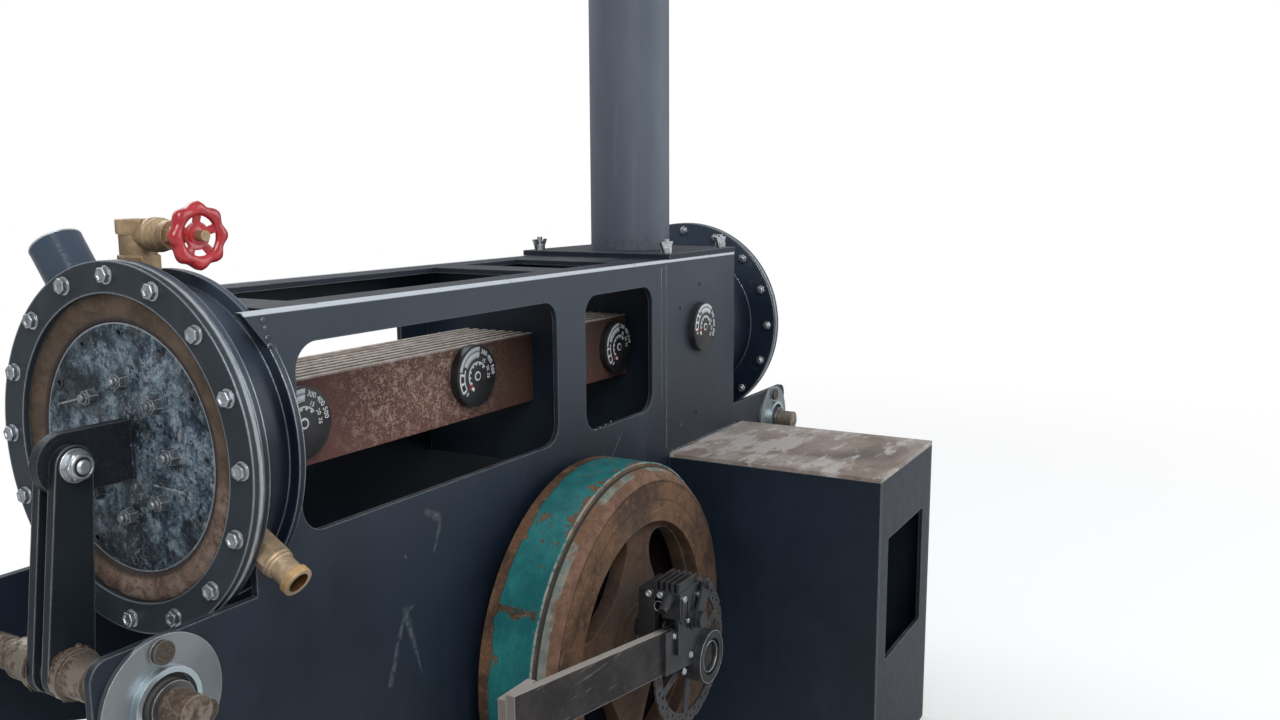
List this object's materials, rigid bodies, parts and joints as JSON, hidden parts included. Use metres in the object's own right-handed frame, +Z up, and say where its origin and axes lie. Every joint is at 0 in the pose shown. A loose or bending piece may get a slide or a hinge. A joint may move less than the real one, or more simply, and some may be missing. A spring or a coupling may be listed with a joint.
{
  "type": "stirling engine generator",
  "caption": "Wood-fired hot-air engine on a welded plate frame, with diaphragm pistons, regenerator sheets, flue, firebox and a cast flywheel.",
  "frame": {"origin": "on the ground under the middle of the frame, halfway between the two drum faces and the two side plates", "axes": "+X along the frame towards the hot end, -Y the side of the flywheel and firebox, +Z up"},
  "size_m": [1.168, 0.526, 1.127],
  "materials": {
    "black_paint": "satin black paint, scuffed",
    "ring_steel": "satin black paint on a machined ring",
    "leather": "dry brown leather diaphragm",
    "mottled_steel": "mottled blue-grey sheet",
    "bare_steel": "bare steel with light rust",
    "zinc": "zinc plated",
    "rusty_sheet": "rust-brown mild steel sheet",
    "dial": "black dial with pale marks",
    "flue_paint": "grey-blue paint",
    "scaled_steel": "heat-scaled rusty steel",
    "wheel_iron": "rusty cast iron with chipped green belt face",
    "brass": "tarnished brass",
    "red_wheel": "glossy red paint",
    "disc_steel": "dark brake disc steel",
    "caliper_black": "black painted brake caliper"
  },
  "bodies": {
    "frame": {"near_side_plate": "black_paint", "far_side_plate": "black_paint", "top_rails": "black_paint", "cross_strips": "black_paint", "middle_web": "black_paint", "hot_box_front_wall": "black_paint", "hot_box_back_wall": "black_paint", "hot_box_floor": "black_paint", "base_plate": "black_paint", "cold_drum": "black_paint", "hot_drum": "black_paint", "cold_bulkhead": "black_paint", "cold_clamp_ring": "ring_steel", "hot_clamp_ring": "ring_steel", "cold_diaphragm": "leather", "hot_diaphragm": "leather", "cold_bearings": "zinc", "hot_bearings": "zinc", "cold_sheet_stack": "rusty_sheet", "hot_sheet_stack": "rusty_sheet", "stack_dials": "dial", "hot_box_dial": "dial", "hot_box_lid": "black_paint", "flue": "flue_paint", "lid_wing_nuts": "zinc", "firebox_top": "scaled_steel", "firebox_side_walls": "black_paint", "firebox_end_wall": "black_paint", "firebox_floor": "black_paint", "main_bearings": "zinc", "outboard_bar": "bare_steel", "outboard_bearing": "bare_steel", "bar_stay": "bare_steel", "brake_caliper": "caliper_black", "pipe_stub": "black_paint", "brass_nipple": "brass", "gate_valve": "brass"},
    "cold_piston_body": {"cold_piston": "mottled_steel"},
    "hot_piston_body": {"hot_piston": "mottled_steel"},
    "cold_rocker": {"cold_levers": "black_paint", "cold_rocker_shaft": "bare_steel", "cold_pivot_bolt": "zinc"},
    "hot_rocker": {"hot_levers": "black_paint", "hot_rocker_shaft": "bare_steel", "hot_pivot_bolt": "zinc"},
    "crank": {"flywheel": "wheel_iron", "crankshaft": "bare_steel", "brake_disc": "disc_steel"},
    "brake_arm_body": {"brake_arm": "caliper_black"},
    "valve_wheel": {"valve_handwheel": "red_wheel"}
  },
  "joints": [
    {"name": "crank_turn", "type": "hinge", "parent": "frame", "child": "crank", "pos_m": [-0.02, -0.155, 0.234], "axis": [0, 1, 0], "continuous": true},
    {"name": "cold_rocker_swing", "type": "hinge", "parent": "frame", "child": "cold_rocker", "pos_m": [-0.534, 0, 0.3645], "axis": [0, 1, 0], "range_deg": [-2.2, 2.2]},
    {"name": "hot_rocker_swing", "type": "hinge", "parent": "frame", "child": "hot_rocker", "pos_m": [0.534, 0, 0.3645], "axis": [0, 1, 0], "range_deg": [-2.2, 2.2]},
    {"name": "cold_piston_slide", "type": "slide", "parent": "frame", "child": "cold_piston_body", "axis": [1, 0, 0], "range_m": [-0.00584, 0.00584]},
    {"name": "hot_piston_slide", "type": "slide", "parent": "frame", "child": "hot_piston_body", "axis": [1, 0, 0], "range_m": [-0.00584, 0.00584]},
    {"name": "valve_turn", "type": "hinge", "parent": "frame", "child": "valve_wheel", "pos_m": [-0.438, -0.06, 0.6735], "axis": [0, -1, 0], "range_deg": [0, 1080]},
    {"name": "brake_arm_pull", "type": "hinge", "parent": "frame", "child": "brake_arm_body", "pos_m": [-0.057, -0.278, 0.288], "axis": [0, -1, 0], "range_deg": [0, 20]}
  ],
  "couplings": [
    {"joint": "cold_piston_slide", "follows": "cold_rocker_swing", "m_per_rad": 0.1495},
    {"joint": "hot_piston_slide", "follows": "hot_rocker_swing", "m_per_rad": 0.1495}
  ]
}
